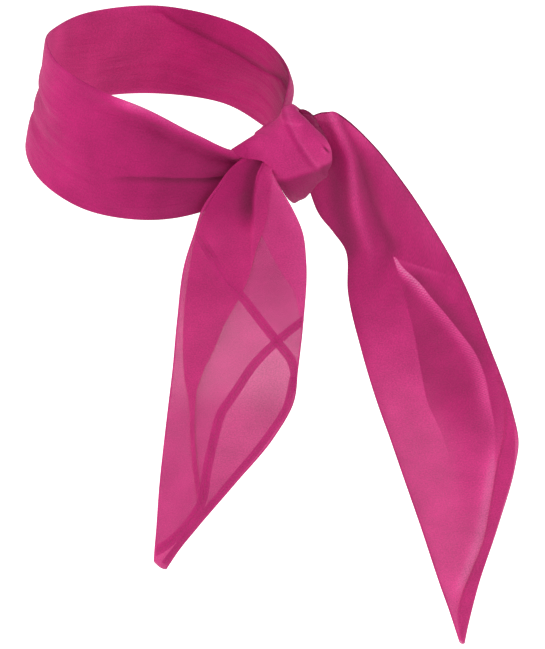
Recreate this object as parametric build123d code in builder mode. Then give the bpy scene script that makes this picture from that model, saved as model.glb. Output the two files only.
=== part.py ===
"""A sheer square scarf, folded into a band and tied round a head with one knot.

The frame is in millimetres. The origin is the middle of the head opening, half-way up the
band. +Z is up, towards the crown. +X runs to the side where the knot sits, and the tails
hang on the -Y side. The cloth is chiffon, and each solid stands for one lay of the folded
square: a stack of plies that lie together and bend together.
"""

import os
from math import cos, radians, sin

from build123d import *

# Cloth
PLY = 0.15  # one ply of chiffon
BAND_PLIES = 16  # the square is folded in half four times on the bias
LAY = BAND_PLIES * PLY / 2  # the band is an outer and an inner lay of half the plies
TAIL_LAY = 0.9  # the loosely stacked plies of a hanging end
FLAP_LAY = 0.5  # a turned-in corner of a few plies
HEM_WIDTH = 7.0
HEM_LAY = 0.5  # the hem is turned twice, so it stands this much off its lay
THREAD = 0.3
SEAM_INSET = HEM_WIDTH - 1  # the stitches run just inside the hem's inner edge

# The band runs round from the front of the knot to the back of it. A station is
# (azimuth in degrees from +X, lower edge radius, upper edge radius, lower Z, upper Z).
BAND = [
    (-37, 98, 98, -21, 4),
    (-54, 94, 93, -32, 3.6),
    (-72, 92, 88, -39, 20),
    (-95, 91.5, 84, -43, 40),
    (-122, 91.3, 80, -43, 47.6),
    (-150, 91.2, 78, -37, 51.5),
    (-180, 90.6, 75.5, -31, 51.5),
    (-208, 87, 80, -31, 43.5),
    (-238, 86, 85.5, -31, 37.5),
    (-270, 86, 86, -33, 36),
    (-300, 86, 85.6, -35, 31.6),
    (-330, 86, 86, -38, 29.8),
    (-354, 88.8, 89.6, -31.5, 27.4),
    (-389, 100, 100, -20, 20),
]

# The knot: one turn of the band wrapped round its gathered core, leaning up towards +X.
KNOT_CENTRE = (97, -60, -3)
KNOT_LEAN = 30  # degrees of the core's axis above +X
WRAP_LENGTH = 44
WRAP_HALF_HEIGHT, WRAP_HALF_DEPTH = 31, 20
WRAP_END = 0.76  # the wrap's ends are tighter than its middle by this ratio
CORE_HALF_HEIGHT, CORE_HALF_DEPTH = 15, 9
CORE_LENGTH = 56

# The short tail hangs in front of the band, and the long one beyond the knot.
HINGE_GAP = 2.4  # the bare fold line between two parts of a tail
SHORT_Y, SHORT_TOP, SHORT_FOLD, SHORT_TIP = -94, -24, -150, -315
LONG_Y, LONG_TOP, LONG_FOLD, LONG_TIP = -60, -50, -190, -391

# The gathered cloth above each tail, from the tail's top into the knot. A section is
# (middle, direction across the cloth, direction along it, width, depth).
SHORT_NECK = [
    ((66, SHORT_Y, SHORT_TOP + HINGE_GAP / 2), (1, 0, 0), (0, 0, 1), 56, 3.6),
    ((68, -90, -8), (1, 0, 0), (0, 0.4, 1), 38, 5),
    ((80, -72, -2), (0.94, 0, 0.34), (0, 1, 0.3), 24, 8),
]
LONG_NECK = [
    ((147, LONG_Y, LONG_TOP + HINGE_GAP / 2), (1, 0, 0), (0, 0, 1), 62, 3.6),
    ((137, LONG_Y, -23), (0.72, 0, 0.69), (-0.69, 0, 0.72), 52, 7),
    ((122, LONG_Y, -6), (0.44, 0, 0.9), (-0.9, 0, 0.44), 46, 11),
    ((109, LONG_Y, -2), (0.2, 0, 0.98), (-0.98, 0, 0.2), 40, 14),
]

# Each side of a tail in X and Z, from the knot down to the tip.
SHORT_LEFT = [(37, -10), (23, -60), (13, -120), (7, -190), (-2, -309)]
SHORT_RIGHT = [(94, -10), (103, -61), (101, -132), (91, -195), (52, -250), (5, SHORT_TIP)]
LONG_LEFT = [(108, -38), (131, -83), (134, -114), (155, -208), (185, -303), (211, LONG_TIP)]
LONG_RIGHT = [(176, -38), (211, -102), (237, -173), (252, -235), (236, -303), (215, -388)]

# The corner of the square that is folded in behind each tail, as one closed outline.
SHORT_FLAP = [(45, -12), (30, -62), (24, -120), (23, -215)]
SHORT_FLAP += [(33, -190), (56, -130), (78, -70), (86, -12)]
LONG_FLAP = [(138, -38), (146, -60), (162, -125), (186, -220)]
LONG_FLAP += [(206, -262), (226, -232), (203, -130), (166, -38)]


def save(part, name):
    part.label = name
    export_step(part, f"parts/{name}.step")


def face_plane(y):
    """A plane that faces -Y, with its own x along +X and its own y along +Z."""
    return Plane(origin=(0, y, 0), x_dir=(1, 0, 0), z_dir=(0, -1, 0))


def knot_plane(shift):
    """A plane across the knot's core, shift millimetres along the core from its middle."""
    axis = Vector(cos(radians(KNOT_LEAN)), 0, sin(radians(KNOT_LEAN)))
    return Plane(origin=Vector(*KNOT_CENTRE) + axis * shift, x_dir=(0, 1, 0), z_dir=axis)


def on_circle(azimuth, radius, z):
    return Vector(radius * cos(radians(azimuth)), radius * sin(radians(azimuth)), z)


def band_ring(inner, outer, margin):
    """The band between two offsets from its inner face, with a margin past both its edges."""
    low = [on_circle(azimuth, radius, z) for azimuth, radius, _, z, _ in BAND]
    high = [on_circle(azimuth, radius, z) for azimuth, _, radius, _, z in BAND]
    middle = [(p + q) / 2 for p, q in zip(low, high)]
    last = len(BAND) - 1
    with BuildPart() as ring:
        for i, (p, q) in enumerate(zip(low, high)):
            along = middle[min(i + 1, last)] - middle[max(i - 1, 0)]
            up = (q - p).normalized()
            out = up.cross(along).normalized()
            centre = middle[i] + out * (inner + outer) / 2
            with BuildSketch(Plane(origin=centre, x_dir=out, z_dir=out.cross(up))):
                Rectangle(outer - inner, (q - p).length + 2 * margin)
        loft()
    return ring.part


def make_knot():
    """The gathered core and the turn of cloth wrapped round it. Returns the whole knot."""
    with BuildPart() as barrel:
        for shift, scale in ((-WRAP_LENGTH / 2, WRAP_END), (0, 1), (WRAP_LENGTH / 2, WRAP_END)):
            with BuildSketch(knot_plane(shift)):
                Ellipse(WRAP_HALF_DEPTH * scale, WRAP_HALF_HEIGHT * scale)
        loft()
    with BuildPart() as core:
        with BuildSketch(knot_plane(-CORE_LENGTH / 2)):
            Ellipse(CORE_HALF_DEPTH, CORE_HALF_HEIGHT)
        extrude(amount=CORE_LENGTH)
        fillet(core.edges(), 3)
    save(core.part, "knot_core")

    with BuildPart() as wrap:
        add(barrel.part)
        add(core.part, mode=Mode.SUBTRACT)
    save(wrap.part, "knot_wrap")

    with BuildPart() as whole:
        add(barrel.part)
        add(core.part)
    return whole.part


def make_band(knot):
    """The band's two lays, cut back to the knot. Returns them as one."""
    with BuildPart() as stack:
        add(band_ring(0, 2 * LAY, 0))
        add(knot, mode=Mode.SUBTRACT)
    inside = band_ring(-3, LAY, 5)
    for name, mode in (("band_inner_lay", Mode.INTERSECT), ("band_outer_lay", Mode.SUBTRACT)):
        with BuildPart() as lay:
            add(stack.part)
            add(inside, mode=mode)
        save(lay.part, name)
    return stack.part


def make_neck(name, sections, *cutters):
    """The gathered cloth from the top of a tail to the knot, lofted through rounded sections."""
    with BuildPart() as neck:
        for origin, across, along, width, depth in sections:
            with BuildSketch(Plane(origin=origin, x_dir=across, z_dir=along)):
                RectangleRounded(width, depth, depth * 0.45)
        loft()
        for cutter in cutters:
            add(cutter, mode=Mode.SUBTRACT)
    save(neck.part, name)


def outline(*points):
    with BuildSketch() as shape:
        with BuildLine():
            Polyline(*points, close=True)
        make_face()
    return shape.sketch


def flat_lay(face, y, thickness, heights, name):
    """A flat lay of cloth between two heights, from its front at y back by its thickness."""
    top, bottom = heights
    with BuildPart() as lay:
        with BuildSketch(face_plane(y)):
            add(face)
            with Locations((0, (top + bottom) / 2)):
                Rectangle(1000, top - bottom, mode=Mode.INTERSECT)
        extrude(amount=-thickness)
    save(lay.part, name)


def rim(face, start, width):
    """The part of a face from start to start plus width inside its edge."""
    with BuildSketch() as outside:
        add(face)
        if start:
            offset(amount=-start, kind=Kind.INTERSECTION, mode=Mode.REPLACE)
    with BuildSketch() as ring:
        add(outside.sketch)
        offset(outside.sketch, amount=-width, kind=Kind.INTERSECTION, mode=Mode.SUBTRACT)
    return ring.sketch


def make_tail(name, sides, flap_points, y, spans):
    """The two hanging parts of a tail: in each a lay, the flap behind it, its hem and stitches."""
    left, right = sides
    face, flap = outline(*left, *reversed(right)), outline(*flap_points)
    hem, seam = rim(face, 0, HEM_WIDTH), rim(face, SEAM_INSET, THREAD)
    front = y - TAIL_LAY / 2
    for part, heights in spans.items():
        flat_lay(face, front, TAIL_LAY, heights, f"{name}_{part}_lay")
        flat_lay(flap, front + TAIL_LAY, FLAP_LAY, heights, f"{name}_{part}_flap")
        flat_lay(hem, front - HEM_LAY, HEM_LAY, heights, f"{name}_{part}_hem")
        flat_lay(seam, front - HEM_LAY - THREAD, THREAD, heights, f"{name}_{part}_stitching")


def spans(top, fold, tip):
    """The top and bottom of a tail's two parts, with a bare fold line above each."""
    return {
        "upper": (top - HINGE_GAP / 2, fold + HINGE_GAP / 2),
        "lower": (fold - HINGE_GAP / 2, tip - 1),
    }


os.makedirs("parts", exist_ok=True)
whole_knot = make_knot()
whole_band = make_band(whole_knot)
make_neck("short_tail_neck", SHORT_NECK, whole_knot, whole_band)
make_neck("long_tail_neck", LONG_NECK, whole_knot)
short_spans = spans(SHORT_TOP, SHORT_FOLD, SHORT_TIP)
long_spans = spans(LONG_TOP, LONG_FOLD, LONG_TIP)
make_tail("short_tail", (SHORT_LEFT, SHORT_RIGHT), SHORT_FLAP, SHORT_Y, short_spans)
make_tail("long_tail", (LONG_LEFT, LONG_RIGHT), LONG_FLAP, LONG_Y, long_spans)
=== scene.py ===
"""The looks of a sheer square scarf, folded into a band and tied round a head with one knot.

Lengths here are in millimetres in the CAD part's axes: +Z up, the knot at +X, the tails on the
-Y side. Every piece of cloth is a grid of points: a row of points runs across the cloth, and the
rows follow one another along it. A list of (x, z) points is a line seen from the front. On a
tail it runs from the top down.
"""

from math import cos, pi, radians, sin

import bpy
import numpy as np
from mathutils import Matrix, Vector


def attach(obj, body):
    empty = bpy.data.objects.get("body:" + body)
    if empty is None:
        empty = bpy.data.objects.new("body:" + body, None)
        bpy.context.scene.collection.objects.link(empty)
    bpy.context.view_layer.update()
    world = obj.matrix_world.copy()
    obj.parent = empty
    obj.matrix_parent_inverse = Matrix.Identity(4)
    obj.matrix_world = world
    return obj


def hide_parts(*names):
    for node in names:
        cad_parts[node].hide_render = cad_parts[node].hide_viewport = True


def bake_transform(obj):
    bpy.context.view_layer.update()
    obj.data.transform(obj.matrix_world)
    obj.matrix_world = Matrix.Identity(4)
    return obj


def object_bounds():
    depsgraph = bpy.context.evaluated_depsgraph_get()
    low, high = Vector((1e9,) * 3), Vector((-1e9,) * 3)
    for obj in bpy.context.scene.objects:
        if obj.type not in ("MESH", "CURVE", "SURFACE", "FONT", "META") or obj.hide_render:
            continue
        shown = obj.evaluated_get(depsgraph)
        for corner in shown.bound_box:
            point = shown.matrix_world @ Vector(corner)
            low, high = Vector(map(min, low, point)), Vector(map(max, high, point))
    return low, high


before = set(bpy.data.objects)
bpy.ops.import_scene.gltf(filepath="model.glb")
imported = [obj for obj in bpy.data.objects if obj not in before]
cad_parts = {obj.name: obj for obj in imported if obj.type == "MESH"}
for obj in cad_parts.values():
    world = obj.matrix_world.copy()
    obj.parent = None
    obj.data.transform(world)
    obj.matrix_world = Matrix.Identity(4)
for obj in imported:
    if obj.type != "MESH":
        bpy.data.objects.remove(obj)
cad_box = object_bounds()

MM = 0.001
TIED = "tied_band"  # the body that doesn't move
TOWARDS_VIEWER = np.array([0, -1.0, 0])  # out of the front of a tail


# ---------------------------------------------------------------- curves and grids


def smooth(points, shares, loop=False):
    """Where a smooth curve through the points is, at these shares of its length."""
    p = np.array(points, float)
    if loop:
        p = np.concatenate([p[-1:], p, p[:2]])
    else:
        p = np.concatenate([2 * p[:1] - p[1:2], p, 2 * p[-1:] - p[-2:-1]])
    flat = p.reshape(len(p), -1)
    gap = np.linalg.norm(np.diff(flat, axis=0), axis=1)
    slope = np.diff(flat, axis=0) / gap[:, None]
    near = (gap[:-1] / (gap[:-1] + gap[1:]))[:, None]
    tangent = slope[:-1] * (1 - near) + slope[1:] * near
    knots = np.concatenate([[0], np.cumsum(gap[1:-1])])
    along = np.clip(shares, 0, 1) * knots[-1]
    i = np.clip(np.searchsorted(knots, along, side="right") - 1, 0, len(knots) - 2)
    h = gap[1:-1][i][:, None]
    t = (along - knots[i])[:, None] / h
    start, end = flat[1:-1][i], flat[1:-1][i + 1]
    out = start * (2 * t**3 - 3 * t**2 + 1) + end * (3 * t**2 - 2 * t**3)
    out += h * (tangent[i] * (t**3 - 2 * t**2 + t) + tangent[i + 1] * (t**3 - t**2))
    return out.reshape(len(along), *p.shape[1:])


def at_height(line, z):
    """The x of a falling curve of (x, z) points at each height z."""
    fine = smooth(line, np.linspace(0, 1, 300))
    return np.interp(z, fine[::-1, 1], fine[::-1, 0])


def ease(value, start, end):
    """0 before start, 1 after end, and a smooth rise between."""
    t = np.clip((value - start) / (end - start), 0, 1)
    return t * t * (3 - 2 * t)


def hill(distance, width):
    """1 at no distance, falling smoothly to nothing past the width on each side."""
    return np.exp(-((distance / width) ** 2))


def crowded(count):
    """Shares from 0 to 1 that crowd towards both ends, for a cloth with rounded edges."""
    return (1 - np.cos(np.linspace(0, pi, count))) / 2


def lengths(grid, axis):
    """The length along the grid to each point, in one direction."""
    step = np.linalg.norm(np.diff(grid, axis=axis), axis=-1)
    return np.concatenate([np.zeros_like(step.take([0], axis)), np.cumsum(step, axis)], axis)


def normals(grid, ring=False):
    """The direction square to the grid at each of its points."""
    if ring:
        padded = np.concatenate([grid[-1:], grid, grid[:1]])
        along = np.gradient(padded, axis=0)[1:-1]
    else:
        along = np.gradient(grid, axis=0)
    square = np.cross(np.gradient(grid, axis=1), along)
    return square / np.maximum(np.linalg.norm(square, axis=-1, keepdims=True), 1e-9)


def plies(grid, thickness, ring=False):
    """Two plies about a grid, which curve together at its sides."""
    edge = lengths(grid, 1)
    inset = np.minimum(edge, edge[:, -1:] - edge)
    round_off = 1 - np.clip(inset / (1.3 * thickness), 0, 1)
    half = (thickness / 2 * np.sqrt(1 - round_off**2))[..., None]
    offset = normals(grid, ring) * half
    return grid + offset, grid - offset


def folded(grid, thickness, ring=False):
    """A flattened tube about a grid: two plies with a rounded fold at each side."""
    front, back = plies(grid, thickness, ring)
    return np.concatenate([front, back[:, -2:0:-1]], axis=1)


# ---------------------------------------------------------------- meshes


def face_corners(rows, cols, ring=False, tube=False):
    """The row and the column of each of the four corners of all the faces of a grid."""
    r = np.arange(rows if ring else rows - 1)[:, None]
    c = np.arange(cols if tube else cols - 1)[None, :]
    return [(r, c), (r, c + 1), (r + 1, c + 1), (r + 1, c)]


def make_piece(name, points, faces, material):
    """A smooth mesh of four-sided faces, in its material."""
    mesh = bpy.data.meshes.new(name)
    mesh.from_pydata((points.reshape(-1, 3) * MM).tolist(), [], faces.reshape(-1, 4).tolist())
    mesh.shade_smooth()
    mesh.materials.append(material)
    piece = bpy.data.objects.new(name, mesh)
    bpy.context.scene.collection.objects.link(piece)
    return piece


def cloth(name, grid, material, ring=False, tube=False, light_and_shade=None, cover=None):
    """A piece of cloth over a grid. ring joins its ends, and tube its sides.

    Each point's painted light and shade runs from -1, painted shade deep in a fold, through 0,
    plain, and 1, pale where the cloth lies single and painted light, to 2, a painted highlight.
    cover is how much of the light each point of the fading chiffon stops. The UV map is the cloth
    laid out flat, in millimetres, so the weave has its real size.
    """
    rows, cols = grid.shape[:2]
    corners = face_corners(rows, cols, ring, tube)
    faces = [np.add(*np.broadcast_arrays(i % rows * cols, j % cols)) for i, j in corners]
    piece = make_piece(name, grid, np.stack(faces, -1), material)
    across = lengths(np.concatenate([grid, grid[:, :1]], 1), 1)
    down = lengths(np.concatenate([grid, grid[:1]], 0), 0)
    flat = [np.broadcast_arrays(across[i % rows, j], down[i, j % cols]) for i, j in corners]
    uv = np.stack([np.stack(corner, -1) for corner in flat], 2)
    layer = piece.data.uv_layers.new(name="cloth")
    layer.data.foreach_set("uv", uv.astype(np.float32).ravel())
    for label, values in (("light_and_shade", light_and_shade), ("cover", cover)):
        if values is not None:
            attribute = piece.data.attributes.new(label, "FLOAT", "POINT")
            values = np.broadcast_to(values, (rows, cols)).astype(np.float32)
            attribute.data.foreach_set("value", values.ravel())
    return piece


def cloth_of_many(name, grids, material):
    """One piece of many small tubes, each a grid of the same shape that closes across."""
    rows, cols = grids[0].shape[:2]
    corners = face_corners(rows, cols, tube=True)
    one = np.stack([i * cols + j % cols for i, j in corners], -1)
    faces = np.stack([one + rows * cols * n for n in range(len(grids))])
    return make_piece(name, np.array(grids), faces, material)


def lay_flat(grid, layers=1):
    """Work out the size that a piece's grid has when it is laid out flat; it is not returned or
    kept.

    A tube that is closed at its ends lies flat in two layers.
    """
    across, down = lengths(grid, 1), lengths(grid, 0)
    width, length = across[:, -1].max() * MM / layers, down[-1].max() * MM
    diagonals = grid[1:, 1:] - grid[:-1, :-1], grid[1:, :-1] - grid[:-1, 1:]
    area = np.linalg.norm(np.cross(*diagonals), axis=-1).sum() / 2 * MM * MM / layers
    area = min(area, width * length)


def doubled(values):
    """Values of a grid, repeated for the second ply of the folded cloth about it."""
    return np.concatenate([values, values[:, -2:0:-1]], axis=1)


# ---------------------------------------------------------------- materials

DEEP = (0.20, 0.008, 0.060, 1)  # painted shade: fuchsia deep in the folds
BODY = (0.48, 0.012, 0.145, 1)
PALE = (0.74, 0.050, 0.260, 1)  # pale where the cloth lies single, and painted light where it catches the light
SHINE = (0.82, 0.200, 0.430, 1)  # painted highlight where the silky side turns to the light
THREAD_RELIEF = 0.12  # how far a thread stands out of the cloth


def new_material(name):
    """A material with its nodes, the function that links them, and its shader."""
    material = bpy.data.materials.new(name)
    material.use_nodes = True
    tree = material.node_tree
    return material, tree.nodes, tree.links.new, tree.nodes["Principled BSDF"]


def add_node(nodes, kind, inputs=(), operation=None):
    """A new node. inputs pairs the names or the numbers of its sockets with their values."""
    node = nodes.new(kind)
    if operation:
        node.operation = operation
    for socket, value in dict(inputs).items():
        node.inputs[socket].default_value = value
    return node


def chiffon(name, alpha=1.0, sheen=0.03, fading=False, streaks=0.0):
    """Sheer crepe-spun cloth: crossing threads with a fine grain, a soft sheen and uneven dye.

    The painted light and shade at each point of the cloth picks its colour. Fading cloth also
    takes its alpha from its cover attribute. streaks is how far, in millimetres, the small folds
    that run along a gathered cloth stand out.
    """
    material, nodes, link, shader = new_material(name)
    shader.inputs["Alpha"].default_value = alpha
    shader.inputs["Specular IOR Level"].default_value = 0.15
    shader.inputs["Sheen Weight"].default_value = sheen
    shader.inputs["Sheen Roughness"].default_value = 0.45
    shader.inputs["Sheen Tint"].default_value = (1.0, 0.62, 0.82, 1)
    place = nodes.new("ShaderNodeUVMap")
    place.uv_map = "cloth"

    # The relief of the threads, with the uneven spin of the yarn on top.
    weave = add_node(nodes, "ShaderNodeMath", operation="MAXIMUM")
    thread_waves = {"Scale": 0.55, "Distortion": 1.2, "Detail Scale": 3.0}
    for number, direction in enumerate("XY"):
        wave = add_node(nodes, "ShaderNodeTexWave", thread_waves)
        wave.bands_direction = direction
        link(place.outputs["UV"], wave.inputs["Vector"])
        link(wave.outputs["Fac"], weave.inputs[number])
    grain = add_node(nodes, "ShaderNodeTexNoise", {"Scale": 0.9, "Detail": 4})
    link(place.outputs["UV"], grain.inputs["Vector"])
    height = add_node(nodes, "ShaderNodeMath", operation="ADD")
    link(weave.outputs[0], height.inputs[0])
    link(grain.outputs["Fac"], height.inputs[1])
    bump = add_node(nodes, "ShaderNodeBump", {"Strength": 0.6, "Distance": THREAD_RELIEF * MM})
    link(height.outputs[0], bump.inputs["Height"])
    link(bump.outputs["Normal"], shader.inputs["Normal"])
    if streaks:
        stretch = add_node(nodes, "ShaderNodeMapping", {"Scale": (0.11, 0.009, 1)})
        link(place.outputs["UV"], stretch.inputs["Vector"])
        run = add_node(nodes, "ShaderNodeTexNoise", {"Scale": 1.0, "Detail": 3})
        link(stretch.outputs["Vector"], run.inputs["Vector"])
        gather = add_node(nodes, "ShaderNodeBump", {"Strength": 1.0, "Distance": streaks * MM})
        link(run.outputs["Fac"], gather.inputs["Height"])
        link(gather.outputs["Normal"], bump.inputs["Normal"])

    # The colour for the painted light and shade, lighter and darker with the grain and with the
    # mottled dye.
    light_and_shade = nodes.new("ShaderNodeAttribute")
    light_and_shade.attribute_name = "light_and_shade"
    share = add_node(nodes, "ShaderNodeMapRange", {"From Min": -1, "From Max": 2})
    link(light_and_shade.outputs["Fac"], share.inputs["Value"])
    dye = nodes.new("ShaderNodeValToRGB")
    dye.color_ramp.elements[0].color = DEEP
    dye.color_ramp.elements[1].color = SHINE
    dye.color_ramp.elements.new(1 / 3).color = BODY
    dye.color_ramp.elements.new(2 / 3).color = PALE
    link(share.outputs["Result"], dye.inputs["Fac"])
    mottle = add_node(nodes, "ShaderNodeTexNoise", {"Scale": 0.035, "Detail": 3})
    link(place.outputs["UV"], mottle.inputs["Vector"])
    both = add_node(nodes, "ShaderNodeMath", {1: 1.6}, "MULTIPLY_ADD")
    link(grain.outputs["Fac"], both.inputs[0])
    link(mottle.outputs["Fac"], both.inputs[2])
    fleck = add_node(nodes, "ShaderNodeMath", {1: 0.60, 2: 0.22}, "MULTIPLY_ADD")
    link(both.outputs[0], fleck.inputs[0])
    colour = add_node(nodes, "ShaderNodeVectorMath", operation="SCALE")
    link(dye.outputs["Color"], colour.inputs[0])
    link(fleck.outputs[0], colour.inputs["Scale"])
    link(colour.outputs[0], shader.inputs["Base Color"])

    rough = add_node(nodes, "ShaderNodeMapRange", {"To Min": 0.55, "To Max": 0.75})
    link(grain.outputs["Fac"], rough.inputs["Value"])
    link(rough.outputs["Result"], shader.inputs["Roughness"])
    if fading:
        cover = nodes.new("ShaderNodeAttribute")
        cover.attribute_name = "cover"
        link(cover.outputs["Fac"], shader.inputs["Alpha"])
    return material


def make_thread():
    """Twisted sewing thread of the cloth's own colour, a little shinier than the cloth."""
    material, nodes, link, shader = new_material("sewing_thread")
    shader.inputs["Roughness"].default_value = 0.45
    place = nodes.new("ShaderNodeTexCoord")
    twist = add_node(nodes, "ShaderNodeTexWave", {"Scale": 900})
    twist.bands_direction = "DIAGONAL"
    link(place.outputs["Object"], twist.inputs["Vector"])
    dye = nodes.new("ShaderNodeValToRGB")
    dye.color_ramp.elements[0].color = DEEP
    dye.color_ramp.elements[1].color = BODY
    link(twist.outputs["Fac"], dye.inputs["Fac"])
    link(dye.outputs["Color"], shader.inputs["Base Color"])
    return material


band_chiffon = chiffon("band_chiffon", sheen=0.06, streaks=2.5)
sheer_chiffon = chiffon("sheer_chiffon", alpha=0.72)
close_chiffon = chiffon("close_chiffon", alpha=0.85)
half_chiffon = chiffon("half_chiffon", alpha=0.35)
dense_chiffon = chiffon("dense_chiffon", alpha=0.88)
fading_chiffon = chiffon("fading_chiffon", fading=True)
thread = make_thread()


# ---------------------------------------------------------------- camera, light and floor


def make_stage():
    """The camera from the front and above, two soft lights, a white surround and its floor."""
    scene = bpy.context.scene
    scene.view_settings.view_transform = "Standard"
    scene.cycles.transparent_max_bounces = 32

    looking_down, distance, frame_width = radians(27), 12.0, 0.3815
    camera = bpy.data.objects.new("camera", bpy.data.cameras.new("camera"))
    target = Vector((80, -60, -141)) * MM
    camera.location = target + Vector((0, -cos(looking_down), sin(looking_down))) * distance
    camera.rotation_euler = (pi / 2 - looking_down, 0, 0)
    camera.data.sensor_fit = "HORIZONTAL"
    camera.data.lens = camera.data.sensor_width * distance / frame_width
    scene.collection.objects.link(camera)
    scene.camera = camera

    middle = Vector((80, -30, -150)) * MM
    for name, place, size, power in (
        ("key_light", (-1.5, -0.7, 1.4), 0.8, 17),
        ("rim_light", (1.6, -0.2, 0.9), 0.8, 5),
    ):
        light = bpy.data.objects.new(name, bpy.data.lights.new(name, "AREA"))
        light.data.size = size
        light.data.energy = power
        light.location = middle + Vector(place)
        light.rotation_euler = Vector(place).to_track_quat("Z", "Y").to_euler()
        scene.collection.objects.link(light)

    world = bpy.data.worlds.new("studio")
    scene.world = world
    world.use_nodes = True
    nodes, link = world.node_tree.nodes, world.node_tree.links.new
    direction = nodes.new("ShaderNodeNewGeometry")
    split = nodes.new("ShaderNodeSeparateXYZ")
    link(direction.outputs["Normal"], split.inputs[0])
    fade = {"From Min": -0.3, "From Max": 0.0, "To Min": 0.5, "To Max": 1.15}
    share = add_node(nodes, "ShaderNodeMapRange", fade)
    link(split.outputs["Z"], share.inputs["Value"])
    link(share.outputs["Result"], nodes["Background"].inputs["Strength"])
    nodes["Background"].inputs["Color"].default_value = (1, 1, 1, 1)

    white, _, _, shader = new_material("white_floor")
    shader.inputs["Base Color"].default_value = (0.8, 0.8, 0.8, 1)
    shader.inputs["Roughness"].default_value = 0.9
    shader.inputs["Emission Color"].default_value = (1, 1, 1, 1)
    shader.inputs["Emission Strength"].default_value = 0.9
    half, below = 40.0, cad_box[0][2] - 0.15
    corners = [(-half, -half), (half, -half), (half, half), (-half, half)]
    mesh = bpy.data.meshes.new("floor")
    mesh.from_pydata([(x, y, below) for x, y in corners], [], [(0, 1, 2, 3)])
    mesh.materials.append(white)
    floor = bpy.data.objects.new("floor", mesh)
    floor.visible_diffuse = False
    floor.visible_glossy = False
    scene.collection.objects.link(floor)


# ---------------------------------------------------------------- the band

LAYS = 2.4  # the band's two lays together
# The band's run from the front of the knot to the back of it, as in the CAD part:
# (azimuth in degrees from +X, lower edge radius, upper edge radius, lower Z, upper Z).
BAND = [
    (-37, 98, 98, -21, 4),
    (-54, 94, 93, -32, 3.6),
    (-72, 92, 88, -39, 20),
    (-95, 91.5, 84, -43, 40),
    (-122, 91.3, 80, -43, 47.6),
    (-150, 91.2, 78, -37, 51.5),
    (-180, 90.6, 75.5, -31, 51.5),
    (-208, 87, 80, -31, 43.5),
    (-238, 86, 85.5, -31, 37.5),
    (-270, 86, 86, -33, 36),
    (-300, 86, 85.6, -35, 31.6),
    (-330, 86, 86, -38, 29.8),
    (-354, 88.8, 89.6, -31.5, 27.4),
    (-389, 100, 100, -20, 20),
]


def band_rails():
    """The lower and the upper edge of the band's inner face at each station."""
    rails = []
    for azimuth, low_radius, high_radius, low_z, high_z in BAND:
        c, s = cos(radians(azimuth)), sin(radians(azimuth))
        ends = (low_radius, low_z), (high_radius, high_z)
        rails.append([(radius * c, radius * s, z) for radius, z in ends])
    return np.array(rails, float)


def band_grid(rows, shares):
    """The band's inner face all along its run, at these shares of its height."""
    rails = smooth(band_rails(), np.linspace(0, 1, rows))
    shares = np.broadcast_to(shares, (rows, np.shape(shares)[-1]))[..., None]
    return rails[:, None, 0] * (1 - shares) + rails[:, None, 1] * shares


def azimuths(grid):
    """Degrees round from +X, falling from -20 at the knot's front to -389 at its back."""
    turn = np.degrees(np.arctan2(grid[..., 1], grid[..., 0]))
    turn = np.where(turn > 0, turn - 360, turn)
    behind = (np.arange(len(grid)) > len(grid) / 2)[:, None]
    return np.where(behind & (turn > -100), turn - 360, turn)


def band_relief(grid):
    """How far the band stands out from its flat lay: soft folds that gather towards the knot."""
    turn, z = azimuths(grid), grid[..., 2]
    top = at_height_of(1, turn)
    bottom = at_height_of(0, turn)
    # Across the front the upper edge is rolled and the lower one full.
    front = ease(turn, -135, -100)
    relief = -2.6 * hill(z - (top - 12), 5) * front
    relief += 1.2 * hill(z - (top - 4), 3) * front
    relief += 1.5 * hill(z - (bottom + 12), 7) * front * ease(turn, -45, -75)
    # Creases lie level round the left side.
    creased = ease(turn, -215, -190) * ease(turn, -135, -165)
    relief -= 1.6 * (hill(z - 13, 3.5) + hill(z + 7, 3.5)) * creased
    relief += 1.0 * (hill(z - 20, 6) + hill(z - 2, 6)) * creased
    # Pleats run into the knot from both its sides.
    share = (z - bottom) / np.maximum(top - bottom, 1)
    relief += 1.6 * np.cos(2 * pi * 3.2 * share + 0.6) * ease(turn, -78, -50)
    relief += 1.4 * np.cos(2 * pi * 2.3 * share + 1.1) * ease(turn, -335, -365)
    relief += 0.8 * np.sin(np.radians(5 * turn) + z / 11)
    relief -= 1.6 * hill(z - 5, 11) * creased
    return relief


def at_height_of(edge, turn):
    """The height of the band's lower edge, 0, or upper edge, 1, at each azimuth."""
    stations = np.array(BAND)[::-1]
    return np.interp(turn, stations[:, 0], stations[:, 3 + edge])


# Where the edge of a ply shows, as (x, z) points: across the band's front, on its outer face,
# and across its back, on the inner face.
OUTER_FOLD = [(-46, -24), (-40, -18), (-23, -11.5), (-5.6, -10), (19, -11.5), (45, -12.7)]
OUTER_FOLD += [(60, -7), (80, 0)]
INNER_FOLD = [(2, 30), (12, 22.7), (33, 13), (57, 7.5), (75, 5.3), (85, 9)]
PLY_STEP = 0.9  # how far a ply stands out from the one behind it


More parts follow.
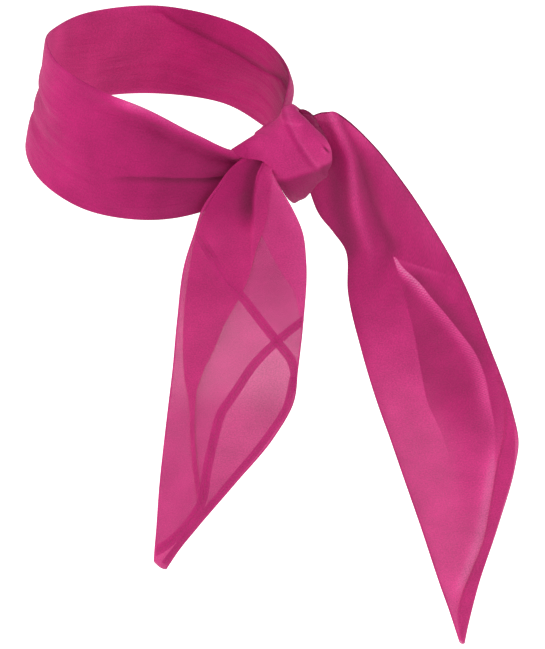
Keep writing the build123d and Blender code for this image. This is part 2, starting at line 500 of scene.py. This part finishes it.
def make_band():
    """The band as one flattened tube, with a ply's edge across its front and back, and painted
    light and shade.
    """
    flat = band_grid(300, crowded(130))
    out = normals(flat)
    middle = flat + out * (LAYS / 2 + band_relief(flat)[..., None])
    outer, inner = plies(middle, LAYS)
    turn, x, z = azimuths(flat), flat[..., 0], flat[..., 2]
    front, back = ease(turn, -118, -100), ease(turn, -262, -275)
    past = z - np.interp(x, *np.transpose(smooth(OUTER_FOLD, np.linspace(0, 1, 200))))
    outer += out * (PLY_STEP * ease(past, -0.5, 0.5) * ease(past, 26, 4) * front)[..., None]
    # Painted shade lies just below the edge of the ply on the front.
    outer_light_and_shade = -0.5 * ease(past, -0.2, -0.8) * ease(past, -7, -1) * front
    past = z - np.interp(x, *np.transpose(smooth(INNER_FOLD, np.linspace(0, 1, 200))))
    inner -= out * (PLY_STEP * ease(past, 0.5, -0.5) * ease(past, -24, -4) * back)[..., None]
    # Painted shade lies just above the edge of the ply across the back.
    inner_light_and_shade = -0.5 * ease(past, 0.2, 0.8) * ease(past, 7, 1) * back
    # Painted light on the inside round the left, painted shade inside by the back of the knot and
    # outside towards its front, and a painted highlight along the upper edge at the front.
    inner_light_and_shade += 0.7 * ease(turn, -295, -250) + 0.25 * ease(turn, -230, -200) - 0.12
    inner_light_and_shade -= 0.7 * ease(turn, -328, -358)
    outer_light_and_shade += 0.05 - 0.25 * ease(turn, -150, -105)
    outer_light_and_shade -= 0.25 * ease(turn, -98, -88) + 0.1 * ease(turn, -84, -60)
    outer_light_and_shade += 1.5 * hill(z - at_height_of(1, turn), 4) * ease(turn, -120, -100)
    grid = np.concatenate([outer, inner[:, -2:0:-1]], axis=1)
    light_and_shade = np.concatenate([outer_light_and_shade, inner_light_and_shade[:, -2:0:-1]], axis=1)
    piece = cloth("band_cloth", grid, band_chiffon, tube=True, light_and_shade=light_and_shade)
    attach(piece, TIED)
    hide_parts("band_inner_lay", "band_outer_lay")


# ---------------------------------------------------------------- the knot

KNOT = Vector((90, -60, 0))
LEAN = radians(30)  # of the core above +X
ALONG = Vector((cos(LEAN), 0, sin(LEAN)))  # the core's axis
OVER = Vector((-sin(LEAN), 0, cos(LEAN)))  # square to it, up and to -X
WRAP_THICKNESS = 2.0
FRONT = Vector((0, -1, 0))

# The turn of cloth round the core, as loops of (along, over, front) points. Each loop starts at
# the top and runs down the front and up the back. The first is the edge by the band.
WRAP_LOOPS = [
    [
        (-19.5, 12.8, 2),
        (-32.5, 22.5, 21),
        (-24.5, 13.5, 22),
        (-15, 7, 25),
        (-14.6, -10, 25),
        (-16.5, -30, 17),
        (-17.5, -40.3, 3),
        (-16, -26, -14),
        (-16, 0, -20),
        (-18, 13, -12),
    ],
    [
        (4, 19.8, -1),
        (0, 20.6, 10),
        (2, 19, 19),
        (5, 10, 24),
        (5, -7, 24.5),
        (2, -25, 17),
        (0, -37, 3),
        (4, -22, -14),
        (4, 0, -19),
        (4, 15, -11),
    ],
    [
        (19, 22.5, 0),
        (20.2, 21, 6),
        (23.2, 16, 12),
        (25.8, 8.6, 16),
        (28, -5, 15),
        (26, -15, 10),
        (20, -24, 2),
        (22, -14, -9),
        (24, 0, -13),
        (20, 13, -7),
    ],
]


# Sections of the knot's core: (along, half width over, half width to the front).
CORE = [
    (-31, 1, 1),
    (-29.5, 6, 4),
    (-18, 12, 8),
    (0, 14, 9),
    (14, 15, 10),
    (22, 16, 11),
    (25.5, 12, 8),
    (26.5, 1, 1),
]
# Sections of the gathered neck of the long tail, from the knot out: its middle as x, y and z,
# its lean to -X in degrees, its half width and its half depth.
NECK = [
    (97, -52, -2, 25, 1, 1),
    (98.5, -52, -2, 25, 13, 5),
    (107, -49, -1, 25, 16, 6.5),
    (114, -49.5, -3, 20, 18, 6),
    (121, -51.8, -9, 8, 18, 4),
    (129, -54.5, -17, -5, 15, 2),
    (133, -56, -22, -8, 8, 0.5),
]


def knot_space(points):
    """Points given along, over and in front of the knot's middle, in the part's own axes."""
    axes = np.array([ALONG, OVER, FRONT])
    return np.asarray(points) @ axes + np.array(KNOT)


def pleated(half_width, half_depth, points, pleats, depth, phase):
    """The two coordinates of points round an oval, with pleats this share of its size deep."""
    turn = np.linspace(0, 2 * pi, points + 1)[:-1]
    size = 1 + depth * np.cos(pleats * turn + phase)
    return half_width * np.cos(turn) * size, half_depth * np.sin(turn) * size


def make_wrap():
    """The turn of cloth round the core, with painted shade below and painted light and shade where
    it is creased and tucked in.
    """
    loops = np.array(WRAP_LOOPS, float)
    turned_in = loops[-1] * (0.97, 0.72, 0.72)
    loops = np.concatenate([loops, turned_in[None]])
    rows, cols = 200, 110
    rings = smooth(loops, np.linspace(0, 1, cols))
    net = np.stack([smooth(ring, np.linspace(0, 1, rows + 1)[:-1], loop=True) for ring in rings], 1)
    share = np.linspace(0, 1, cols)[None, :]
    out = normals(net, ring=True)
    along, over, front = np.moveaxis(net, -1, 0)
    # Soft folds run round the wrap, side by side along the core.
    creases = 1.1 * hill(along - 12, 2.2) - 0.8 * hill(along - 16.5, 3) - 0.6 * hill(along - 3, 4)
    creases += 0.7 * hill(along + 9, 3)
    creases *= ease(share, 0.02, 0.2) * ease(share, 0.95, 0.8)
    # Painted shade underneath and painted light above a slanting line across the front, with
    # painted shade and highlights along the creases.
    lit = ease(over + 0.35 * (along + 3), -17, -11)
    light_and_shade = -0.6 + 0.95 * lit * ease(along, -30, -8) + 0.5 * lit * ease(along, -8, -30)
    light_and_shade -= 0.35 * hill(along - 11.5, 1.6) * lit - 0.2 * hill(along - 16, 3) * lit
    light_and_shade += 0.4 * hill(along - 14.2, 1.1) * lit
    # A painted highlight runs across the top as a light crease, and a painted dark line with a
    # painted light rim shows where the end is tucked in at the side of the long tail.
    crease_highlight = over - 22 + 0.55 * (along - 9)
    light_and_shade += 0.4 * hill(crease_highlight, 1.0) * ease(along, 7, 10) * ease(along, 24, 18)
    tuck_shade = hill(over + 9.5, 3.6)
    light_and_shade += tuck_shade * (0.8 * hill(along - 25.3, 2.0) - 2.4 * hill(along - 25.3, 0.7))
    light_and_shade = doubled(light_and_shade * ease(front, -4, 4))
    net = knot_space(net - out * creases[..., None])
    grid = folded(net, WRAP_THICKNESS, ring=True)
    piece = cloth(
        "knot_wrap_cloth", grid, band_chiffon, ring=True, tube=True, light_and_shade=light_and_shade
    )
    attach(piece, TIED)
    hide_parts("knot_wrap")


def make_core():
    """The gathered cloth through the middle of the knot, closed at both ends."""
    ends = []
    for along, half_over, half_front in CORE:
        over, front = pleated(half_over, half_front, 120, 9, 0.10, along / 9)
        ends.append(np.stack([np.full_like(over, along), over, front], -1))
    grid = knot_space(smooth(np.array(ends), np.linspace(0, 1, 60)))
    # Painted shade darkens the whole core inside the knot.
    light_and_shade = np.full(grid.shape[:2], -0.6)
    core = cloth("knot_core_cloth", grid, band_chiffon, tube=True, light_and_shade=light_and_shade)
    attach(core, TIED)
    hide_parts("knot_core")
    lay_flat(grid, layers=2)


def make_neck():
    """The gathered cloth that runs from the middle of the knot into the long tail."""
    ends = []
    for x, y, z, lean, half_over, half_front in NECK:
        over, front = pleated(half_over, half_front, 96, 11, 0.09, x / 6)
        rise, run = over * cos(radians(lean)), over * sin(radians(lean))
        ends.append(np.stack([x - run, y - front, z + rise], -1))
    grid = smooth(np.array(ends), np.linspace(0, 1, 50))
    neck = cloth("long_tail_neck_cloth", grid, band_chiffon, tube=True)
    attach(neck, TIED)
    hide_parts("long_tail_neck")
    lay_flat(grid, layers=2)


# ---------------------------------------------------------------- the tails


PLY_GAP = 1.6  # between a tail's front and back plies
EDGE_RADIUS = 0.6  # of the fold along a tail's side
STITCH_PITCH, STITCH_LENGTH, STITCH_HALF = 3.2, 2.2, 0.16  # and half its thickness


class Tail:
    """A hanging end of the scarf, in an upper and a lower part.

    rows are (left x, left z, right x, right z) from the knot down, and depth gives the tail's y
    at an x and a z. swing and curl are the heights of the bends at the two joints, which are kept
    but not used to bend the cloth, and split is where the parts meet. neck is a CAD node that the
    front ply also shows.
    """

    def __init__(self, name, rows, swing, split, curl, depth, neck=None):
        self.name, self.rows, self.depth, self.neck = name, rows, depth, neck
        self.split = split
        upper, lower = f"{name}_upper", f"{name}_lower"
        self.bends = {"upper": ((TIED, upper), swing), "lower": ((upper, lower), curl)}
        self.rails = smooth(rows, np.linspace(0, 1, 400))
        self.sheets, self.trims = [], {"upper": [], "lower": []}

    def left(self, z):
        """The x of the tail's left side at a height."""
        return np.interp(z, self.rails[::-1, 1], self.rails[::-1, 0])

    def right(self, z):
        """The x of the tail's right side at a height."""
        return np.interp(z, self.rails[::-1, 3], self.rails[::-1, 2])

    def share(self, x, z):
        """How far across the tail a point is: 0 at its left side, 1 at its right."""
        return (x - self.left(z)) / np.maximum(self.right(z) - self.left(z), 1)

    def place(self, x, z, lift=0.0):
        """The point of the tail's surface at x and z, lifted towards the front."""
        return np.stack([x, self.depth(self, x, z) - lift, z], -1)

    def grid(self, rows, columns, lift=0.0, count=150):
        """The tail's surface between a left and a right side given as rows."""
        rail = smooth(rows, np.linspace(0, 1, count))[:, None]
        x = rail[..., 0] + (rail[..., 2] - rail[..., 0]) * columns
        z = rail[..., 1] + (rail[..., 3] - rail[..., 1]) * columns
        return self.place(x, z, lift)

    def hang(
        self, name, grid, material, light_and_shade=0.0, cover=None, replaces=(), trim=False, tube=False
    ):
        """Make one ply of the tail, in an upper and a lower part that meet at the split.

        A trim is a hem or a fold: it is no sheet of its own, and is kept in the part's list of
        trims.
        """
        light_and_shade = np.broadcast_to(light_and_shade, grid.shape[:2])
        height = grid[..., 2].mean(axis=1)
        reaches = height[-1] < self.split
        cut = int(np.argmax(height < self.split)) if reaches else len(height) - 1
        for part, rows in (("upper", slice(0, cut + 1)), ("lower", slice(cut, None))):
            if len(height[rows]) < 2:
                continue
            covered = None if cover is None else np.broadcast_to(cover, grid.shape[:2])[rows]
            label, shade = f"{self.name}_{part}_{name}", light_and_shade[rows]
            piece = cloth(label, grid[rows], material, tube=tube, light_and_shade=shade, cover=covered)
            # Light passes through the single plies, so they don't shade one another.
            piece.visible_shadow = piece.visible_diffuse = material is dense_chiffon
            self.bend(piece)
            nodes = [f"{self.name}_{part}_{node}" for node in replaces]
            if self.neck and part == "upper" and "lay" in replaces:
                nodes.append(self.neck)
            if nodes:
                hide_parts(*nodes)
            if trim:
                self.trims[part].append(piece)
            else:
                self.sheets.append((part, piece, grid[rows]))

    def bend(self, piece):
        """Bake a piece's transform into its mesh; it is not bent at the part's joint."""
        x, y = self.rows[0][0] * MM, self.depth(self, self.rows[0][0], self.split) * MM
        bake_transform(piece)

    def roll_edges(self):
        """The rounded fold along each side, where the two plies turn into each other."""
        turn = np.linspace(0, 2 * pi, 9)[:-1][None, :, None]
        for name, first in (("left_fold", 0), ("right_fold", 2)):
            rail = smooth(self.rows, np.linspace(0, 1, 200))
            middle = self.place(rail[:, first], rail[:, first + 1])
            along = np.gradient(middle, axis=0)
            along /= np.linalg.norm(along, axis=1, keepdims=True)
            side = np.cross(along, TOWARDS_VIEWER) * (1 if first else -1)
            middle = middle + EDGE_RADIUS * side
            ring = np.cos(turn) * side[:, None] + np.sin(turn) * TOWARDS_VIEWER
            grid = middle[:, None] + EDGE_RADIUS * ring
            node = ("hem",) if first else ()
            # Painted shade darkens the side folds towards the knot at the top.
            shade = -0.1 - 0.7 * ease(grid[..., 2], -48, -18)
            self.hang(name, grid, dense_chiffon, shade, replaces=node, trim=True, tube=True)

    def stitch(self, lines, lift):
        """Rows of short stitches along lines of (x, z) points, in the thread's material."""
        turn = np.linspace(0, 2 * pi, 6)[:-1][None, :, None]
        thick = STITCH_HALF * np.array([0.4, 1, 1, 1, 0.4])[:, None, None]
        made = {"upper": [], "lower": []}
        for line in lines:
            fine = smooth(line, np.linspace(0, 1, 400))
            run = lengths(fine[None], 1)[0]
            for start in np.arange(0.5, run[-1] - STITCH_LENGTH, STITCH_PITCH):
                at = start + STITCH_LENGTH * np.linspace(0, 1, 5)
                x, z = np.interp(at, run, fine[:, 0]), np.interp(at, run, fine[:, 1])
                middle = self.place(x, z, lift + 0.22 * np.sin(np.linspace(0, pi, 5)))
                along = (middle[-1] - middle[0]) / np.linalg.norm(middle[-1] - middle[0])
                side = np.cross(along, TOWARDS_VIEWER)
                ring = np.cos(turn) * side + np.sin(turn) * TOWARDS_VIEWER
                part = "upper" if z.mean() > self.split else "lower"
                made[part].append(middle[:, None] + thick * ring)
        for part, tubes in made.items():
            piece = cloth_of_many(f"{self.name}_{part}_stitches", tubes, thread)
            self.bend(piece)
            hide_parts(f"{self.name}_{part}_stitching")
            self.trims[part].append(piece)

    def declare(self):
        """Work out each sheet's flat size, and empty each part's list of hems and stitches."""
        for part, piece, grid in self.sheets:
            lay_flat(grid)
            self.trims[part] = []


# The short tail, in front of the band, and then the folds, plies and hems that show in it.
SHORT_ROWS = [
    (71, 10, 77, 8),
    (69, 3, 77, 1),
    (61, 0, 78, -5),
    (51.8, -5.5, 81, -10),
    (39.9, -18.5, 86.5, -19),
    (30.5, -33.8, 94.5, -33.8),
    (25.8, -49.5, 100.8, -49.5),
    (19, -73, 103.6, -73),
    (13.3, -120, 101.8, -120),
    (10, -160, 98, -160),
    (7.2, -186, 95, -186),
    (4.2, -214, 81, -214),
    (0.6, -250, 53.5, -250),
    (-1.8, -285, 26, -285),
    (-3.2, -303, 13.5, -302),
    (-3.4, -309, 5.5, -315),
]
SHORT_FOLD = [(75, 8), (74, -2), (70, -9), (68, -17), (66.5, -38), (65.8, -56)]
PLEAT_LEFT = [(68, 8), (64, 1), (53.5, -5), (41.5, -19), (31.8, -37), (25, -60), (21.5, -83)]
PLEAT_LEFT += [(18.5, -110), (17.5, -140), (18.5, -165), (21.5, -185), (22.8, -216), (24, -232)]
PLEAT_LEFT += [(27.3, -258)]
PLEAT_RIGHT = [(82, 8), (80, -6), (74, -45), (69, -60), (63, -84), (54.6, -104), (46.9, -120)]
PLEAT_RIGHT += [(39, -141.5), (31.8, -158.7), (27.3, -174), (25.8, -190), (25.8, -216)]
PLEAT_RIGHT += [(27.2, -232), (30, -258)]
INNER_HEM = [(29, -52), (37, -66), (46.9, -84.8), (58.1, -97.4), (67.2, -110.8), (77, -125.7)]
INNER_HEM += [(84.7, -137.5), (93.1, -150.8), (96.2, -166), (96, -176)]
CROSS_HEM = [(103, -117.5), (98.7, -121), (81.9, -135.9), (68.6, -150.8), (52.5, -177.5)]
CROSS_HEM += [(44.1, -191.7), (39.9, -207.4), (34.3, -235), (28.7, -264.7), (21.7, -275.7)]
CROSS_HEM += [(13.3, -286), (2.5, -296), (-4, -301)]
SIDE_HEM = [(94.8, -164), (89.8, -188), (76.5, -211.5), (49.3, -248), (22.8, -282.5), (4, -309)]
SIDE_PLY = [(56, 8), (60, -6), (66, -35), (75.6, -57), (80.5, -68.3), (88.9, -84.8)]
SIDE_PLY += [(93.8, -92.7), (99.4, -118.6)]
HEM_STRIP = 6.6  # the width of a hem that shows through
SIDE_INSET = 1.2  # how far the plies inside stay from the tail's sides


def short_depth(tail, x, z):
    """The short tail's y: it comes out of the knot, folds over itself and hangs in a soft wave."""
    share = np.clip(tail.share(x, z), 0, 1)
    y = -94 + 18 * ease(z, -22, 10)
    past = x - at_height(SHORT_FOLD, z)
    y += 3.2 * hill(np.minimum(past, 0), 11) * ease(past, 1.0, -1.0) * ease(z, -80, -35)
    y -= 3.5 * np.sin(pi * share)
    y += 2.5 * np.sin(z / 42) * ease(z, 0, -60)
    return y


def short_shade(tail, x, z):
    """The painted light and shade of the gathered cloth: painted shade in the valley and over the
    upper part, most at its top left, and painted light on the rim that curls out.
    """
    past = x - at_height(SHORT_FOLD, z)
    shade = 1.0 - 1.0 * hill(np.minimum(past, 0), 9) * ease(past, 1.5, -1.5) * ease(z, -52, -30)
    shade -= 0.4 * ease(z, -130, -60) * ease(tail.share(x, z), 1.0, 0.8)
    shade -= 0.5 * ease(z, -60, -15) * ease(past, 1, -8)
    return shade


def strip_rows(line, width):
    """Rows of a strip of this width along a line of (x, z) points."""
    middle = smooth(line, np.linspace(0, 1, 40))
    along = np.gradient(middle, axis=0)
    along /= np.linalg.norm(along, axis=1, keepdims=True)
    side = np.stack([along[:, 1], -along[:, 0]], -1) * width / 2
    return np.concatenate([middle + side, middle - side], axis=1)


def level_rows(left, right, top, bottom):
    """Level rows between two sides, each a line of (x, z) points or an x for every height."""
    z = np.linspace(top, bottom, 120)
    sides = [side(z) if callable(side) else at_height(side, z) for side in (left, right)]
    return np.stack([sides[0], z, sides[1], z], -1)


def make_short_tail():
    """The short tail: its two outer plies, the corner folded in between them, and its hems."""
    swing, split, curl = (-4, -64), -85, (-110, -190)
    tail = Tail("short_tail", SHORT_ROWS, swing, split, curl, short_depth, "short_tail_neck")
    base = tail.grid(SHORT_ROWS, crowded(110), count=220)
    back, front = plies(base, PLY_GAP)
    x, z = base[..., 0], base[..., 2]
    shade = short_shade(tail, x, z) - 0.45 * ease(z, -150, -200)
    cover = 0.73 + 0.12 * ease(z, -130, -90)
    cover += 0.15 * ease(z, -160, -200) + 0.05 * ease(z, -200, -260)
    tail.hang("front_ply", front, fading_chiffon, shade, cover, ("lay",))
    tail.hang("back_ply", back, sheer_chiffon, shade, replaces=("flap",))

    def left(z):
        return tail.left(z) + SIDE_INSET

    def right(z):
        return tail.right(z) - SIDE_INSET

    def cross_side(z):
        inside = np.minimum(at_height(CROSS_HEM, z), right(z))
        return np.where(z > CROSS_HEM[0][1], right(z), inside)

    def inner_side(z):
        return np.where(z > INNER_HEM[0][1], left(z), at_height(INNER_HEM, z))

    across = np.linspace(0, 1, 60)
    for name, sides, top, bottom, material, lift in (
        ("cross_ply", (left, cross_side), 8, -296, half_chiffon, 1.1),
        ("inner_ply", (inner_side, right), 8, -166, half_chiffon, 1.4),
        ("side_ply", (SIDE_PLY, right), 8, -118, sheer_chiffon, 1.7),
        ("pleat", (PLEAT_LEFT, PLEAT_RIGHT), 8, -258, dense_chiffon, 2.0),
    ):
        grid = tail.grid(level_rows(*sides, top, bottom), across, lift, 200)
        x, z = grid[..., 0], grid[..., 2]
        shade = short_shade(tail, x, z)
        if name == "pleat":
            shade -= 0.6 - 0.3 * ease(z, -110, -50)
        tail.hang(name, grid, material, shade)
    for name, line, width, lift in (
        ("inner_hem", INNER_HEM, HEM_STRIP, 2.3),
        ("cross_hem", CROSS_HEM, HEM_STRIP, 2.6),
        ("side_hem", SIDE_HEM, 5.2, 1.5),
    ):
        grid = tail.grid(strip_rows(line, width), np.linspace(0, 1, 7), lift)
        z = grid[..., 2]
        grid = tail.place(np.clip(grid[..., 0], left(z), right(z)), z, lift)
        cover = 0.9 * ease(z, -48, -80)
        tail.hang(name, grid, fading_chiffon, 0.2, cover, trim=True)
    tail.roll_edges()
    tail.stitch((INNER_HEM, CROSS_HEM, SIDE_HEM), 2.9)
    tail.declare()


# The long tail, beyond the knot, and then the folds and the hem that show in it.
LONG_ROWS = [
    (100, -20, 101, 17),
    (104, -30, 108, 21),
    (106, -38, 119, 25),
    (109, -47.5, 130, 19.2),
    (113, -56.2, 148.6, 0.9),
    (122.5, -69, 172.3, -31.5),
    (131.6, -85, 193.2, -66.7),
    (132.6, -114, 211.5, -102),
    (142.3, -161, 231.4, -155),
    (155, -208, 248.3, -208),
    (162, -230, 253, -233),
    (169.6, -255, 250.6, -255),
    (184.4, -302.6, 238.8, -302.6),
    (198.7, -349.7, 225, -349.7),
    (204.6, -367.4, 220.8, -367.4),
    (209.5, -383.3, 217.4, -383.3),
    (212, -391, 215.6, -392.5),
]
LONG_RIDGE = [(119, 26.5), (124, 15.2), (129, 3), (133, -7.5), (135.5, -25), (138, -47)]
LONG_RIDGE += [(144, -68), (148, -82)]
LONG_VALLEY = [(122.5, 23), (130, 7), (138, -13), (145, -33), (150, -49), (155, -61), (162, -76)]
FOLD_EDGE = [(164.5, -87), (170.1, -106), (174.3, -123.5), (179.2, -144.7), (183.4, -170.6)]
FOLD_EDGE += [(189.7, -202.8), (197.4, -221.7), (203.7, -241.3)]
BRIGHT_FOLD = [(165.2, -86.5), (168.7, -92), (182.3, -106.2), (191, -118), (200, -129.7)]
BRIGHT_FOLD += [(211, -145.5), (221, -161.2), (227, -176.9), (231.7, -200.4), (235.2, -220)]
LONG_HEM = [
    (237.5, -180, 240, -179),
    (243, -205.9, 246, -205),
    (242.9, -224, 249.5, -224),
    (238, -250, 250, -250),
    (232.4, -288.4, 241.4, -288.4),
    (228.9, -309.6, 235.8, -309.6),
    (221.2, -332.4, 229.4, -332.4),
    (214.5, -349.7, 224.2, -349.7),
    (210.6, -367.4, 220, -367.4),
    (212.5, -388, 214.8, -388),
]


def long_depth(tail, x, z):
    """The long tail's y: a ridge and a valley run down from the knot, and a wave below them."""
    away = np.hypot(x - 105, z + 5)
    y = -60 + 3 * ease(away, 70, 12)
    near = ease(z, -115, -50)
    y -= 5 * hill(x - at_height(LONG_RIDGE, z), 5) * near
    y += 4.5 * hill(x - at_height(LONG_VALLEY, z), 5.5) * near
    y += 2.5 * np.sin(z / 50 + 1) * ease(z, -60, -120)
    y -= 3 * np.sin(pi * np.clip(tail.share(x, z), 0, 1)) * ease(z, -40, -120)
    return y


def long_shade(tail, x, z):
    """The painted light and shade of the long tail's front ply.

    It has painted shade in the valleys by the knot and a painted highlight along the ridge. Lower
    down the cloth turns over along the bright fold, which is painted light: left of it a second
    layer shows through as far as the fold's edge, and right of it lies painted shade.
    """
    share = tail.share(x, z)
    top = ease(z, -100, -75)
    ridge = x - at_height(LONG_RIDGE, z)
    # Painted highlight along the ridge, painted light at the top by the knot and along the right
    # side, and painted shade in the valley and left of the ridge.
    shade = (0.3 + 0.6 * ease(z, -85, -25)) * hill(ridge, 3.2) + 0.5 * ease(z, -12, 12)
    shade -= 0.6 * hill(x - at_height(LONG_VALLEY, z), 6.5)
    shade = top * (shade - 0.6 * hill(ridge + 12, 8) * ease(z, 8, -14) + 0.3 * ease(share, 0.7, 1))
    shade += 0.65 * ease(z, -95, -200) - 0.3 * hill(share, 0.07)
    past = x - at_height(BRIGHT_FOLD, z)
    # Painted light along the bright fold, rippled on its left side.
    feather = 1 + 0.5 * np.sin(2 * pi * (z - 0.8 * x) / 2.6) * hill(past + 5, 6)
    light = (1.2 + 0.7 * ease(z, -125, -100)) * feather * ease(z, -235, -190)
    light *= hill(np.minimum(past, 0), 7)
    second_layer_and_highlight = -0.25 + 0.7 * ease(z, -175, -245) + light
    # Painted shade right of the fold, lifting again towards the right side.
    shaded = 0.55 * ease(past, 1, 17) + 0.25 * ease(z, -104, -88)
    shaded -= 0.5 * ease(z, -88, -104) * ease(z, -190, -150)
    turned = second_layer_and_highlight + (shaded - second_layer_and_highlight) * ease(past, 0.3, 1.3)
    below = z + 0.36 * (x - BRIGHT_FOLD[0][0])
    within = ease(below, -86.5, -88) * ease(z, -262, -235)
    within *= ease(x - at_height(FOLD_EDGE, z), -0.4, 0.4)
    shade += (turned - shade) * within
    # A pale strip lies just inside the hem.
    hem = np.array(LONG_HEM[::-1], float)
    inside = np.minimum(x - np.interp(z, hem[:, 1], hem[:, 0]) + 3, 0)
    return shade + 0.7 * hill(inside, 6) * ease(z, -200, -240) * ease(z, -372, -335)


def make_long_tail():
    """The long tail: its two outer plies, the hem at its side, and its stitches."""
    swing, split, curl = (-30, -95), -125, (-150, -230)
    tail = Tail("long_tail", LONG_ROWS, swing, split, curl, long_depth)
    base = tail.grid(LONG_ROWS, crowded(60), count=180)
    fine = tail.grid(LONG_ROWS, np.linspace(0, 1, 171), count=420)
    back, front = plies(base, PLY_GAP)[0], plies(fine, PLY_GAP)[1]
    x, z = fine[..., 0], fine[..., 2]
    shade = long_shade(tail, x, z)
    cover = 0.88 + 0.10 * ease(z, -240, -150)
    cover += (0.97 - cover) * ease(tail.share(x, z), 0.35, 0.6) * ease(z, -320, -260)
    tail.hang("front_ply", front, fading_chiffon, shade, cover, ("lay",))
    tail.hang("back_ply", back, close_chiffon, 0.9, replaces=("flap",))

    hem = tail.grid(LONG_HEM, np.linspace(0, 1, 9), lift=1.7, count=120)
    tail.hang("hem", hem, dense_chiffon, 0.5, trim=True)
    tail.roll_edges()
    side_seam = [(row[2] - 2.4, row[3]) for row in LONG_ROWS[5:9]]
    hem_seam = [(row[0] + 1, row[1]) for row in LONG_HEM[:-1]]
    tail.stitch((side_seam, hem_seam), 2.2)
    tail.declare()


make_stage()
make_band()
make_wrap()
make_core()
make_neck()
make_short_tail()
make_long_tail()
